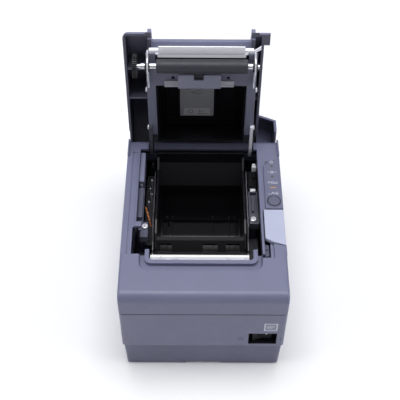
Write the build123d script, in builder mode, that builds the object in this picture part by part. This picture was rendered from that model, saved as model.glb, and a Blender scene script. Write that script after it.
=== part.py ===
from build123d import *
import math
import os

os.makedirs("parts", exist_ok=True)

# ---------------------------------------------------------------- driving dimensions (mm)
# Case frame: X to the right, Y to the back with the front face at Y = 0, Z up from the table.
HALF_W = 72.5          # half the case width
DEPTH = 195.0          # front face to rear face
BASE_TOP = 35.0        # top of the lower case
SEAM_Z = 85.4          # seam between the front face and the sliding front cover
LEDGE_Z = 110.6        # top ledges of the case
RIM_Z = 111.0          # rim plane of the closed roll cover
FRONT_TOP_Z = 110.4    # front cover's top near the front edge
BACK_TOP_Z = 112.0     # front cover's top at its rear edge
WALL = 2.5
FC_Y = 45.0            # rear edge of the front cover
HINGE_Y, HINGE_Z = 177.5, 101.6
BAR_Z = HINGE_Z + 0.6    # height of the axis of the rounded cross bar
OPEN_DEG = 92.3        # how far the cover stands open from closed
COV_L, COV_R, COV_WIDE = -71.8, 52.6, 71.4
COV_REAR = 193.0
ROLL_Y, ROLL_Z, ROLL_R = 113.0, 65.0, 43.0   # paper roll well
WELL_L, WELL_R = -42.6, 37.6
PLATEN_Y, PLATEN_Z, PLATEN_R = 65.0, 91.0, 6.25
GEAR_X0, GEAR_X1 = -62.4, -58.6
MODULE = 0.55
HEAD_AXIS_Z = 77.4    # where the print head unit hangs on its two pins
YC = 112.3             # shifts the model so that its rest footprint is centred on the origin

N_PLATEN, N_IDLER, N_PINION = 36, 24, 12
idler_reach = MODULE * (N_PLATEN + N_IDLER) / 2 + 0.06
IDLER_Y = PLATEN_Y - idler_reach * math.cos(math.radians(75))
IDLER_Z = PLATEN_Z - idler_reach * math.sin(math.radians(75))
pinion_reach = MODULE * (N_IDLER + N_PINION) / 2 + 0.1
PINION_Y = IDLER_Y - pinion_reach * math.cos(math.radians(60))
PINION_Z = IDLER_Z - pinion_reach * math.sin(math.radians(60))


def blk(x0, x1, y0, y1, z0, z1, mode=Mode.ADD):
    """An axis-aligned block between two corners, added to the current part."""
    with Locations(((x0 + x1) / 2, (y0 + y1) / 2, (z0 + z1) / 2)):
        Box(x1 - x0, y1 - y0, z1 - z0, mode=mode)


def rod_x(x0, x1, y, z, r, mode=Mode.ADD):
    """A cylinder along X."""
    with Locations(Location(((x0 + x1) / 2, y, z), (0, 90, 0))):
        Cylinder(r, x1 - x0, mode=mode)


def rod_y(x, y0, y1, z, r, mode=Mode.ADD):
    """A cylinder along Y."""
    with Locations(Location((x, (y0 + y1) / 2, z), (90, 0, 0))):
        Cylinder(r, y1 - y0, mode=mode)


def rod_z(x, y, z0, z1, r, mode=Mode.ADD):
    """A cylinder along Z."""
    with Locations((x, y, (z0 + z1) / 2)):
        Cylinder(r, z1 - z0, mode=mode)


def slab_yz(points, x0, x1, mode=Mode.ADD):
    """A polygon in Y and Z, extruded along X."""
    outline = Face(Wire.make_polygon([(x0, y, z) for y, z in points], close=True))
    extrude(outline, amount=x1 - x0, dir=(1, 0, 0), mode=mode)


def slab_xy(points, z0, z1, mode=Mode.ADD):
    """A polygon in X and Y, extruded along Z."""
    outline = Face(Wire.make_polygon([(x, y, z0) for x, y in points], close=True))
    extrude(outline, amount=z1 - z0, dir=(0, 0, 1), mode=mode)


def gear_points(n, m, phase, tooth=0.44):
    """The outline of a spur gear as straight flanks; tooth is the tooth's share of the pitch."""
    ro, rr, rp = m * n / 2 + 0.92 * m, m * n / 2 - 1.2 * m, m * n / 2
    pts = []
    step = 2 * math.pi / n
    for i in range(n):
        c = phase + i * step
        for rad, half in ((rr, 0.62 * tooth), (rp, 0.5 * tooth), (ro, 0.3 * tooth)):
            pts.append((rad, c - half * step))
        for rad, half in ((ro, 0.3 * tooth), (rp, 0.5 * tooth), (rr, 0.62 * tooth)):
            pts.append((rad, c + half * step))
    return [(r * math.cos(a), r * math.sin(a)) for r, a in pts]


def gear_x(n, m, x0, x1, y, z, phase, tooth=0.44):
    """A spur gear along X, its angle measured from +Y towards +Z."""
    slab_yz([(y + a, z + b) for a, b in gear_points(n, m, phase, tooth)], x0, x1)


SHIFT = Location((0, -YC, 0))
OPENED = (
    Location((0, HINGE_Y, HINGE_Z))
    * Location((0, 0, 0), (-OPEN_DEG, 0, 0))
    * Location((0, -HINGE_Y, -HINGE_Z))
)


def save(name, builder, on_cover=False):
    """Writes one finished piece. Pieces of the roll cover are drawn closed and stored open."""
    piece = builder.part.moved(SHIFT * OPENED) if on_cover else builder.part.moved(SHIFT)
    piece.label = name
    export_step(piece, f"parts/{name}.step")


# ================================================================= fixed body
# ---- lower case: a shallow tray, slightly narrower than the case above it
with BuildPart() as lower_case:
    with BuildSketch(Plane.XY.offset(1.0)):
        with Locations((0, 97.0)):
            RectangleRounded(140.0, 190.0, 3.0)
    with BuildSketch(Plane.XY.offset(BASE_TOP - 0.2)):
        with Locations((0, 97.0)):
            RectangleRounded(142.4, 192.0, 3.0)
    loft()
    blk(-67.6, 67.6, 4.8, 189.2, 3.6, 40, mode=Mode.SUBTRACT)
    # shallow arch in the front lower edge and a cable channel at the back
    slab_yz([(-2, 0), (5, 0), (5, 3.1), (-2, 3.1)], -15.5, 15.5, mode=Mode.SUBTRACT)
    blk(-22, 22, 184, 196, 0, 9, mode=Mode.SUBTRACT)
    # recesses for the feet and the standoffs of the circuit board
    with Locations((-58, 18, 2.3), (58, 18, 2.3), (-58, 176, 2.3), (58, 176, 2.3)):
        Cylinder(7.2, 2.6, mode=Mode.SUBTRACT)
    with Locations((-52, 96, 6.2), (52, 96, 6.2), (-52, 168, 6.2), (52, 168, 6.2)):
        Cylinder(3.2, 5.4)
    # wall hanging keyholes
    with Locations((-35, 60, 2.3), (35, 60, 2.3), (-35, 150, 2.3), (35, 150, 2.3)):
        Cylinder(2.3, 4.0, mode=Mode.SUBTRACT)
save("lower_case", lower_case)

with BuildPart() as rubber_feet:
    with Locations((-58, 18, 1.6), (58, 18, 1.6), (-58, 176, 1.6), (58, 176, 1.6)):
        Cylinder(7.0, 3.2)
save("rubber_feet", rubber_feet)

# ---- upper case: front face, side walls, rear wall, top ledges and the rear cross bar
with BuildPart() as main_case:
    with BuildSketch(Plane.XY.offset(BASE_TOP)):
        with Locations((0, DEPTH / 2)):
            RectangleRounded(2 * HALF_W, DEPTH, 3.0)
    extrude(amount=LEDGE_Z - BASE_TOP)
    blk(-HALF_W + WALL, HALF_W - WALL, WALL, DEPTH - WALL, BASE_TOP - 1, LEDGE_Z - 2.6, mode=Mode.SUBTRACT)
    # room for the sliding front cover
    blk(-80, 80, -1, FC_Y + 0.3, SEAM_Z, 120, mode=Mode.SUBTRACT)
    blk(51.6, 80, -1, 95.4, 105.0, 120, mode=Mode.SUBTRACT)
    # the opening over the mechanism and the roll well
    blk(-55.6, 51.4, FC_Y, 172.0, 100, 120, mode=Mode.SUBTRACT)
    # gear slot beside the left ledge
    blk(-63.2, -55.0, FC_Y, 76.5, 100, 120, mode=Mode.SUBTRACT)
    # left channel between the thin ridge and the opening
    blk(-60.4, -55.0, 82.0, 172.0, 100, 120, mode=Mode.SUBTRACT)
    # step in the left ledge
    blk(-67.4, -61.4, 76.5, 168.0, LEDGE_Z - 1.0, 120, mode=Mode.SUBTRACT)
    blk(-67.4, -63.2, FC_Y, 76.5, LEDGE_Z - 1.0, 120, mode=Mode.SUBTRACT)
    # seat for the control panel
    blk(58.5, 71.0, 97.5, 156.0, 105.0, 120, mode=Mode.SUBTRACT)
    # stepped-in upper rear wall behind the hinge
    blk(-80, 80, 185.9, 200, 84.0, 120, mode=Mode.SUBTRACT)
    blk(-HALF_W, HALF_W, 184.0, DEPTH, 81.5, 84.0)
    blk(-HALF_W, HALF_W, 183.4, 185.9, 83.0, 102.2)
    # cross bar over the hinge, rounded about the hinge axis
    blk(-HALF_W, HALF_W, 171.9, 187, 100, 120, mode=Mode.SUBTRACT)
    with BuildSketch(Plane.YZ.offset(-HALF_W)):
        with BuildLine():
            l1 = Line((172.0, LEDGE_Z), (HINGE_Y, LEDGE_Z))
            l2 = RadiusArc((HINGE_Y, LEDGE_Z), (HINGE_Y + 8.4, BAR_Z), 8.4)
            l3 = Line((HINGE_Y + 8.4, BAR_Z), (HINGE_Y + 8.4, 100.0))
            l4 = Line((HINGE_Y + 8.4, 100.0), (HINGE_Y + 5.9, 100.0))
            l5 = Line((HINGE_Y + 5.9, 100.0), (HINGE_Y + 5.9, BAR_Z))
            l6 = RadiusArc((HINGE_Y + 5.9, BAR_Z), (HINGE_Y, BAR_Z + 5.9), -5.9)
            l7 = Line((HINGE_Y, BAR_Z + 5.9), (172.0, BAR_Z + 5.9))
            l8 = Line((172.0, BAR_Z + 5.9), (172.0, LEDGE_Z))
        make_face()
    extrude(amount=2 * HALF_W)
    # side cheeks that carry the hinge rod
    for x in (-72.5, 70.0):
        with BuildSketch(Plane.YZ.offset(x)):
            with BuildLine():
                Polyline((160, 84), (185.9, 84), (185.9, BAR_Z), (184.2, 107.2), (180.7, 109.9), (HINGE_Y, LEDGE_Z), (160, LEDGE_Z), close=True)
            make_face()
        extrude(amount=2.5)
    for x in (-66.0, 62.0):
        slab_yz([(173.5, 92), (183.6, 92), (183.6, 104), (180.0, 108.2), (173.5, 108.2)], x, x + 4.0)
    # slots in the cross bar for the two hinge arms
    blk(-52.8, -47.2, 165, 190, 92, 120, mode=Mode.SUBTRACT)
    blk(42.6, 48.2, 165, 190, 92, 120, mode=Mode.SUBTRACT)
    # raised lips beside the closed cover
    for x in (-72.5, 71.1):
        slab_yz([(162, LEDGE_Z - 1), (184.0, 104), (184.0, 111.6), (181.5, 113.8), (164, 114.2), (162, 112.6)], x, x + 1.4)
    # inner wall along the right side of the opening, with its hooked foot
    blk(51.4, 53.6, 46.0, 172.0, 96.0, LEDGE_Z)
    # partition ridge along the left channel
    blk(-61.4, -60.4, 76.5, 153.0, 100.0, LEDGE_Z + 0.1)
    # switch pocket in the front face
    blk(40.4, 65.4, -1, 7.0, 37.8, 55.4, mode=Mode.SUBTRACT)
    blk(38.8, 40.4, 1.0, 7.0, 36.2, 57.0)
    blk(65.4, 67.0, 1.0, 7.0, 36.2, 57.0)
    blk(38.8, 67.0, 1.0, 7.0, 55.4, 57.0)
    blk(38.8, 67.0, 1.0, 7.0, 36.2, 37.8)
    # opening for the interface panel and the fixed sockets
    blk(-55.2, 55.2, 190, 200, 40, 74, mode=Mode.SUBTRACT)
    # hinge rod holes
    rod_x(-66.2, 66.2, HINGE_Y, HINGE_Z, 2.05, mode=Mode.SUBTRACT)
save("main_case", main_case)

# ---- sliding front cover over the cutter, with the raised lip round the paper exit
with BuildPart() as front_cover:
    with BuildSketch(Plane.YZ.offset(-HALF_W)):
        with BuildLine():
            l1 = Line((0, SEAM_Z + 0.3), (0, 101.8))
            l2 = ThreePointArc((0, 101.8), (2.55, 107.95), (8.6, FRONT_TOP_Z))
            l3 = Line((8.6, FRONT_TOP_Z), (FC_Y, BACK_TOP_Z))
            l4 = Line((FC_Y, BACK_TOP_Z), (FC_Y, SEAM_Z + 0.3))
            l5 = Line((FC_Y, SEAM_Z + 0.3), (0, SEAM_Z + 0.3))
        make_face()
    extrude(amount=2 * HALF_W)
    # the right rear corner runs on beside the release paddle
    slab_yz([(FC_Y - 0.2, 105.4), (58.0, 105.4), (58.0, BACK_TOP_Z + 0.4), (FC_Y - 0.2, BACK_TOP_Z)], 61.6, HALF_W)
    fillet(front_cover.edges().filter_by(Axis.Z).group_by(Axis.Y)[0], 2.2)
    slab_xy([(61.0, 58.6), (61.0, 56.7), (73.5, 53.4), (73.5, 60)], 99, 115, mode=Mode.SUBTRACT)
    with BuildSketch(Plane.YZ.offset(-HALF_W + 2.3)):
        with BuildLine():
            l1 = Line((2.3, 80), (2.3, 102.0))
            l2 = ThreePointArc((2.3, 102.0), (4.2, 106.3), (8.8, FRONT_TOP_Z - 2.4))
            l3 = Line((8.8, FRONT_TOP_Z - 2.4), (70, BACK_TOP_Z - 1.2))
            l4 = Line((70, BACK_TOP_Z - 1.2), (70, 80))
            l5 = Line((70, 80), (2.3, 80))
        make_face()
    extrude(amount=2 * HALF_W - 4.6, mode=Mode.SUBTRACT)
    # channel round the lip
    with BuildSketch(Plane.XY.offset(108.8)):
        with Locations((-2.4, 44.0)):
            RectangleRounded(104.0, 29.6, 7.0)
    extrude(amount=8, taper=-28, mode=Mode.SUBTRACT)
    with BuildSketch(Plane.XY.offset(107.2)):
        with Locations((-2.4, 44.0)):
            RectangleRounded(107.0, 33.0, 7.0)
        with Locations((-2.4, 62.7)):
            Rectangle(140, 34.8, mode=Mode.SUBTRACT)
    extrude(amount=1.7)
    # the lip itself
    with BuildSketch(Plane.XY.offset(107.2)):
        with Locations((-2.0, 47.4)):
            RectangleRounded(97.8, 26.0, 6.0)
        with Locations((-2.0, 49.4)):
            RectangleRounded(90.4, 22.4, 3.4, mode=Mode.SUBTRACT)
        with Locations((-2.0, 62.0)):
            Rectangle(140, 25.0, mode=Mode.SUBTRACT)
    extrude(amount=5.4)
    # paper exit, open to the back
    with BuildSketch(Plane.XY.offset(80)):
        with Locations((-2.0, 49.4)):
            RectangleRounded(90.4, 22.4, 3.4)
    extrude(amount=40, mode=Mode.SUBTRACT)
    # notch for the foot of the inner wall
    blk(51.0, 61.6, 41.5, 60, 90, 120, mode=Mode.SUBTRACT)
save("front_cover", front_cover)

# ---- paper roll well
with BuildPart() as roll_well:
    with BuildSketch(Plane.YZ.offset(WELL_L - 1.8)):
        with BuildLine():
            l1 = Line((170.2, 108.0), (170.2, 95.0))
            l2 = Line((170.2, 95.0), (ROLL_Y + 44.8, 75.0))
            l3 = Line((ROLL_Y + 44.8, 75.0), (ROLL_Y + 44.8, ROLL_Z))
            l4 = ThreePointArc((ROLL_Y + 44.8, ROLL_Z), (ROLL_Y, ROLL_Z - 44.8), (ROLL_Y - 44.8, ROLL_Z))
            l5 = Line((ROLL_Y - 44.8, ROLL_Z), (ROLL_Y - 41.6, 80.0))
            l6 = Line((ROLL_Y - 41.6, 80.0), (ROLL_Y - 39.8, 80.0))
            l7 = Line((ROLL_Y - 39.8, 80.0), (ROLL_Y - ROLL_R, ROLL_Z))
            l8 = ThreePointArc((ROLL_Y - ROLL_R, ROLL_Z), (ROLL_Y, ROLL_Z - ROLL_R), (ROLL_Y + ROLL_R, ROLL_Z))
            l9 = Line((ROLL_Y + ROLL_R, ROLL_Z), (ROLL_Y + ROLL_R, 75.4))
            l10 = Line((ROLL_Y + ROLL_R, 75.4), (168.4, 95.4))
            l11 = Line((168.4, 95.4), (168.4, 108.0))
            l12 = Line((168.4, 108.0), (170.2, 108.0))
        make_face()
    extrude(amount=WELL_R - WELL_L + 3.6)
    # side walls
    for x in (WELL_L - 1.8, WELL_R):
        with BuildSketch(Plane.YZ.offset(x)):
            with BuildLine():
                l1 = Line((ROLL_Y - 44.0, ROLL_Z), (72.4, 82.5))
                l2 = Line((72.4, 82.5), (84.0, 91.0))
                l3 = Line((84.0, 91.0), (97.0, 95.6))
                l4 = Line((97.0, 95.6), (158.0, 95.6))
                l5 = Line((158.0, 95.6), (168.6, 102.6))
                l6 = Line((168.6, 102.6), (168.6, 96.0))
                l7 = Line((168.6, 96.0), (ROLL_Y + 44.0, 75.0))
                l8 = Line((ROLL_Y + 44.0, 75.0), (ROLL_Y + 44.0, ROLL_Z))
                l9 = ThreePointArc((ROLL_Y + 44.0, ROLL_Z), (ROLL_Y, ROLL_Z - 44.0), (ROLL_Y - 44.0, ROLL_Z))
            make_face()
        extrude(amount=1.8)
    # shallow rails that carry the roll
    for x in (-36.5, -31.0, 9.5, 26.0, 32.0):
        with BuildSketch(Plane.YZ.offset(x)):
            with BuildLine():
                l1 = ThreePointArc((ROLL_Y + 34.0, 38.4), (ROLL_Y, ROLL_Z - 42.9), (ROLL_Y - 30.0, 34.2))
                l2 = Line((ROLL_Y - 30.0, 34.2), (ROLL_Y - 29.3, 35.0))
                l3 = ThreePointArc((ROLL_Y - 29.3, 35.0), (ROLL_Y, ROLL_Z - 42.0), (ROLL_Y + 33.2, 39.0))
                l4 = Line((ROLL_Y + 33.2, 39.0), (ROLL_Y + 34.0, 38.4))
            make_face()
        extrude(amount=1.1)
save("roll_well", roll_well)

# ---- paper guide between the roll well and the print head
with BuildPart() as paper_guide:
    slab_yz([(60.6, 75.6), (60.6, 78.6), (66.4, 79.8), (76.6, 90.2), (79.6, 91.2), (80.2, 90.6), (77.4, 89.2), (68.0, 78.4), (66.0, 76.8)], WELL_L + 0.2, WELL_R - 0.2)
    for x0, x1 in ((-40.5, -28.5), (-0.5, 13.0), (20.5, 33.0)):
        blk(x0, x1, 68.0, 74.4, 75, 95, mode=Mode.SUBTRACT)
    blk(WELL_L + 0.2, WELL_R - 0.2, 60.6, 63.0, 75.0, 77.0)
    for x in (-44.4, 37.4):
        blk(x, x + 2.0, 60.6, 66.0, 75.6, 78.6)
save("paper_guide", paper_guide)

# ---- steel side frames of the mechanism
with BuildPart() as side_frames:
    for x0 in (-46.8, 40.6):
        slab_yz([(48, 40), (48, 84), (80, 84), (90, 94), (158, 94), (164, 88), (164, 40)], x0, x0 + 1.2)
        # folded foot at the bottom
        blk(x0 - 3 if x0 < 0 else x0, x0 + 1.2 if x0 < 0 else x0 + 2.2, 48, 164, 38.8, 40)
    rod_x(-48, 43, PLATEN_Y, 86.0, 5.2, mode=Mode.SUBTRACT)
    rod_x(-48, 43, PINION_Y, PINION_Z, 4.0, mode=Mode.SUBTRACT)
    rod_x(-48, 43, IDLER_Y, IDLER_Z, 1.0, mode=Mode.SUBTRACT)
    rod_x(-48, 43, 56.0, HEAD_AXIS_Z, 1.05, mode=Mode.SUBTRACT)
    for y in (108, 140):
        blk(-48, 43, y, y + 16, 70, 76, mode=Mode.SUBTRACT)
save("side_frames", side_frames)

# ---- latch blocks: grey plastic blocks beside the well, each held by one screw
LEFT_SCREW, RIGHT_SCREW, SCREW_SEAT = (-53.4, 88.2), (46.2, 97.0), 94.6
with BuildPart() as left_latch_block:
    blk(-57.6, -50.6, 76.0, 93.4, 88.0, 95.6)
    blk(-57.6, -55.4, 93.4, 134.0, 90.0, 95.6)
    blk(-59.2, -55.6, 134.0, 170.0, 90.0, 105.0)
    rod_z(*LEFT_SCREW, 40.0, 88.4, 3.0)
    rod_z(*LEFT_SCREW, SCREW_SEAT, 97, 3.4, mode=Mode.SUBTRACT)
    rod_z(*LEFT_SCREW, 84, 97, 1.6, mode=Mode.SUBTRACT)
save("left_latch_block", left_latch_block)

with BuildPart() as right_latch_block:
    blk(42.6, 51.0, 91.8, 131.0, 88.0, 95.6)
    blk(43.6, 50.2, 103.0, 129.8, 92.0, 97, mode=Mode.SUBTRACT)
    blk(45.6, 47.2, 108.0, 126.0, 91.0, 94.6)
    rod_z(*RIGHT_SCREW, 40.0, 88.4, 3.0)
    rod_z(*RIGHT_SCREW, SCREW_SEAT, 97, 3.4, mode=Mode.SUBTRACT)
    rod_z(*RIGHT_SCREW, 84, 97, 1.6, mode=Mode.SUBTRACT)
save("right_latch_block", right_latch_block)

# ---- crosshead screws that hold the blocks
with BuildPart() as block_screws:
    for x, y in (LEFT_SCREW, RIGHT_SCREW):
        rod_z(x, y, 84.6, SCREW_SEAT, 1.5)
        rod_z(x, y, SCREW_SEAT, SCREW_SEAT + 2.2, 2.8)
    fillet(block_screws.edges().filter_by(GeomType.CIRCLE).filter_by(lambda e: e.center().Z > SCREW_SEAT + 2), 0.7)
    for x, y in (LEFT_SCREW, RIGHT_SCREW):
        blk(x - 1.9, x + 1.9, y - 0.35, y + 0.35, SCREW_SEAT + 1.0, 99, mode=Mode.SUBTRACT)
        blk(x - 0.35, x + 0.35, y - 1.9, y + 1.9, SCREW_SEAT + 1.0, 99, mode=Mode.SUBTRACT)
save("block_screws", block_screws)

# ---- print head, its heat sink, and the springs behind it
with BuildPart() as thermal_head:
    blk(-41.5, 37.0, 57.0, 58.2, 80.0, 97.3)
    blk(-41.5, 37.0, 58.2, 58.45, 88.5, 93.5)
save("thermal_head", thermal_head)

with BuildPart() as head_heat_sink:
    blk(-43.5, 39.0, 54.2, 57.0, 76.0, 97.6)
    rod_x(-44.6, 40.2, 56.0, HEAD_AXIS_Z, 2.0)
    rod_x(-48.4, -44.6, 56.0, HEAD_AXIS_Z, 1.0)
    rod_x(40.2, 42.6, 56.0, HEAD_AXIS_Z, 1.0)
save("head_heat_sink", head_heat_sink)

with BuildPart() as head_springs:
    for x in (-28.0, -2.2, 23.5):
        seat = Plane(origin=(x, 48.4, 90.0), x_dir=(1, 0, 0), z_dir=(0, 1, 0))
        coil = Helix(pitch=1.32, height=5.2, radius=2.6, mode=Mode.PRIVATE)
        wire = Face(Wire.make_circle(0.3, Plane(origin=coil @ 0, z_dir=coil % 0)))
        spring = Solid.sweep(wire, Wire([coil]), is_frenet=True)
        add(spring.moved(seat.location))
save("head_springs", head_springs)

CUT_X, CUT_Y, RACK_X, CUT_N = -19.33, 17.4, -12.6, 22
# ---- cutter: steel frame with its bright top bar, sliding blade, drive gear, worm shaft and motor
with BuildPart() as cutter_frame:
    blk(-46.4, 39.8, 12.0, 43.5, 97.6, 98.8)
    for x in (-46.4, 38.6):
        blk(x, x + 1.2, 12.0, 47.0, 97.6, 103.6)
        blk(x, x + 1.2, 41.5, 47.0, 103.6, 107.8)
    blk(-46.4, 39.8, 41.5, 47.0, 106.6, 107.8)
    blk(-46.4, 39.8, 46.0, 47.0, 104.6, 107.8)
    blk(-46.4, 39.8, 46.7, 47.9, 76.0, 97.0)
    blk(-46.4, 39.8, 42.6, 47.9, 96.4, 97.6)
    rod_z(CUT_X, CUT_Y, 90, 100, 1.96, mode=Mode.SUBTRACT)
save("cutter_frame", cutter_frame)

with BuildPart() as moving_blade:
    slab_xy([(-41.0, 32.0), (-41.0, 43.6), (-2.6, 42.0), (35.0, 43.6), (35.0, 32.0), (-6.0, 26.0), (-6.0, 8.6), (RACK_X, 8.6), (RACK_X, 26.0)], 99.9, 101.0)
    pitch = math.pi * MODULE
    for i in range(-5, 5):
        y = CUT_Y + (i + 0.5) * pitch
        slab_xy([(RACK_X + 0.1, y - 0.46), (RACK_X - 0.6, y - 0.33), (RACK_X - 1.1, y - 0.17), (RACK_X - 1.1, y + 0.17), (RACK_X - 0.6, y + 0.33), (RACK_X + 0.1, y + 0.46)], 99.9, 101.0)
save("moving_blade", moving_blade)

with BuildPart() as cutter_gear:
    # worm wheel below the frame and a pinion above it, on one short shaft
    slab_xy([(CUT_X + a, CUT_Y + b) for a, b in gear_points(24, 0.75, 0.0)], 88.0, 92.0)
    rod_z(CUT_X, CUT_Y, 86.0, 101.8, 1.9)
    slab_xy([(CUT_X + a, CUT_Y + b) for a, b in gear_points(CUT_N, MODULE, 0.0, 0.40)], 99.7, 101.2)
save("cutter_gear", cutter_gear)

WORM_Y, WORM_Z = 30.2, 90.0
with BuildPart() as cutter_motor:
    rod_x(2.0, 30.0, WORM_Y, WORM_Z - 1.2, 6.6)
    rod_x(30.0, 32.0, WORM_Y, WORM_Z - 1.2, 3.0)
    rod_x(0.4, 2.0, WORM_Y, WORM_Z - 1.2, 3.0)
    rod_x(0.0, 10.0, WORM_Y, WORM_Z, 1.45, mode=Mode.SUBTRACT)
save("cutter_motor", cutter_motor)

with BuildPart() as cutter_worm:
    rod_x(-56.0, 8.0, WORM_Y, WORM_Z, 1.4)
    rod_x(-28.0, -12.0, WORM_Y, WORM_Z, 2.2)
    for i in range(7):
        rod_x(-26.9 + i * 2.2, -26.2 + i * 2.2, WORM_Y, WORM_Z, 2.7)
save("cutter_worm", cutter_worm)

with BuildPart() as cutter_knob:
    with BuildSketch(Plane.YZ.offset(-60.0)):
        with BuildLine():
            Polyline(*[(WORM_Y + a, WORM_Z + b) for a, b in gear_points(30, 0.62, 0.0, 0.6)], close=True)
        make_face()
    extrude(amount=4.4)
    rod_x(-60.4, -55.0, WORM_Y, WORM_Z, 1.4, mode=Mode.SUBTRACT)
save("cutter_knob", cutter_knob)

# ---- paper feed: motor, pinion and the idler that drives the platen gear
with BuildPart() as feed_motor:
    rod_x(-45.6, -24.0, PINION_Y, PINION_Z, 8.0)
    blk(-45.6, -44.6, PINION_Y - 14.0, PINION_Y + 14.0, PINION_Z - 3.6, PINION_Z + 3.6)
    rod_x(-46.8, -45.6, PINION_Y, PINION_Z, 3.9)
    rod_x(-48.0, -36.0, PINION_Y, PINION_Z, 1.05, mode=Mode.SUBTRACT)
save("feed_motor", feed_motor)

ang_pi = math.atan2(IDLER_Z - PINION_Z, IDLER_Y - PINION_Y)
ang_ip = math.atan2(PLATEN_Z - IDLER_Z, PLATEN_Y - IDLER_Y)
# the idler has a tooth on the line to the platen gear, and the platen gear a gap there
idler_phase = ang_ip
platen_phase = ang_ip + math.pi + math.pi / N_PLATEN
# the pinion's gap faces the idler's nearest tooth
k = (ang_pi + math.pi - idler_phase) / (2 * math.pi / N_IDLER)
off = (round(k) - k) * (2 * math.pi / N_IDLER)
pinion_phase = ang_pi + math.pi / N_PINION - off * N_IDLER / N_PINION

with BuildPart() as feed_pinion:
    gear_x(N_PINION, MODULE, GEAR_X0 + 0.3, GEAR_X1 + 1.2, PINION_Y, PINION_Z, pinion_phase, 0.40)
    rod_x(GEAR_X1, -37.0, PINION_Y, PINION_Z, 1.0)
save("feed_pinion", feed_pinion)

with BuildPart() as feed_idler:
    gear_x(N_IDLER, MODULE, GEAR_X0, GEAR_X1, IDLER_Y, IDLER_Z, idler_phase, 0.40)
    rod_x(GEAR_X0 - 1, GEAR_X1 + 1, IDLER_Y, IDLER_Z, 1.55, mode=Mode.SUBTRACT)
save("feed_idler", feed_idler)

with BuildPart() as idler_stud:
    rod_x(GEAR_X0 - 1.4, -48.0, IDLER_Y, IDLER_Z, 1.5)
    rod_x(-48.0, -45.9, IDLER_Y, IDLER_Z, 0.98)
    rod_x(GEAR_X1 + 0.3, -46.8, IDLER_Y, IDLER_Z, 2.4)
save("idler_stud", idler_stud)

# ---- hinge rod across the back of the case
with BuildPart() as hinge_rod:
    rod_x(-66.1, 66.1, HINGE_Y, HINGE_Z, 2.0)
save("hinge_rod", hinge_rod)

# ---- control panel with its lamps and button
with BuildPart() as control_panel:
    with BuildSketch(Plane.XY.offset(LEDGE_Z)):
        with BuildLine():
            Polyline((56.2, 96.2), (72.3, 96.2), (72.3, 159.9), (62.6, 155.2), (56.2, 149.0), close=True)
        make_face()
        fillet(vertices().sort_by(Axis.Y)[2:4], 5.0)
    extrude(amount=1.9)
    fillet(control_panel.faces().sort_by(Axis.Z)[-1].edges(), 0.6)
    blk(59.0, 70.5, 98.0, 155.5, LEDGE_Z - 2.4, LEDGE_Z)
    rod_z(64.3, 105.1, 100, 120, 5.9, mode=Mode.SUBTRACT)
    rod_z(64.3, 148.1, 100, 120, 1.35, mode=Mode.SUBTRACT)
    rod_z(64.3, 134.8, 100, 120, 1.35, mode=Mode.SUBTRACT)
    blk(61.3, 67.3, 120.8, 122.5, 100, 120, mode=Mode.SUBTRACT)
save("control_panel", control_panel)

with BuildPart() as feed_button:
    rod_z(64.3, 105.1, 107.4, 113.1, 5.55)
    fillet(feed_button.faces().sort_by(Axis.Z)[-1].edges(), 0.7)
    rod_z(64.3, 105.1, 107.0, 108.0, 6.6)
save("feed_button", feed_button)

with BuildPart() as status_lamps:
    rod_z(64.3, 148.1, 108.4, 112.3, 1.3)
    rod_z(64.3, 134.8, 108.4, 112.3, 1.3)
save("status_lamps", status_lamps)
with BuildPart() as paper_lamp:
    blk(61.35, 67.25, 120.85, 122.45, 108.4, 112.3)
save("paper_lamp", paper_lamp)

with BuildPart() as panel_board:
    blk(54.5, 69.0, 99.0, 154.0, 102.8, 104.2)
    rod_z(64.3, 105.1, 104.2, 105.6, 3.0)
save("panel_board", panel_board)

# ---- release paddle that opens the roll cover
with BuildPart() as release_paddle:
    with BuildSketch(Plane.XY.offset(108.4)):
        with BuildLine():
            Polyline((54.4, 95.2), (72.3, 95.2), (72.3, 55.0), (61.4, 58.2), (54.4, 62.5), close=True)
        make_face()
        fillet(vertices().sort_by(Axis.Y)[2:3], 3.0)
    extrude(amount=4.0)
    fillet(release_paddle.faces().sort_by(Axis.Z)[-1].edges(), 0.7)
    blk(57.0, 59.5, 84.0, 92.0, 99.0, 108.4)
    blk(67.0, 69.5, 84.0, 92.0, 99.0, 108.4)
    rod_x(55.5, 71.0 - 1.4, 89.5, 102.4, 2.0)
    rod_x(50, 75, 89.5, 102.4, 1.05, mode=Mode.SUBTRACT)
save("release_paddle", release_paddle)

with BuildPart() as paddle_pin:
    rod_x(53.6, 70.0, 89.5, 102.4, 1.0)
save("paddle_pin", paddle_pin)

# ---- power switch
with BuildPart() as switch_body:
    blk(40.6, 65.2, 7.1, 18.0, 38.2, 55.2)
    blk(43.0, 62.8, 6.0, 12.0, 40.0, 53.4, mode=Mode.SUBTRACT)
    blk(46.0, 48.0, 18.0, 22.0, 44.0, 49.0)
    blk(52.0, 54.0, 18.0, 22.0, 44.0, 49.0)
    blk(58.0, 60.0, 18.0, 22.0, 44.0, 49.0)
save("switch_body", switch_body)

with BuildPart() as switch_rocker:
    with BuildSketch(Plane.XY.offset(40.4)):
        with BuildLine():
            Polyline((43.6, 4.0), (44.4, 2.2), (52.9, 4.6), (61.4, 4.4), (62.2, 6.0), (60.0, 9.6), (45.6, 9.6), close=True)
        make_face()
    extrude(amount=12.6)
save("switch_rocker", switch_rocker)

# ---- circuit boards
with BuildPart() as main_board:
    blk(-60, 60, 90, 180, 9.0, 10.6)
    for x, y, a, b, h in ((-30, 120, 14, 14, 1.6), (10, 130, 22, 16, 2.0), (38, 110, 10, 18, 3.0), (-45, 150, 12, 12, 6.0), (-10, 160, 10, 8, 5.0)):
        blk(x - a / 2, x + a / 2, y - b / 2, y + b / 2, 10.6, 10.6 + h)
save("main_board", main_board)

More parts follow.
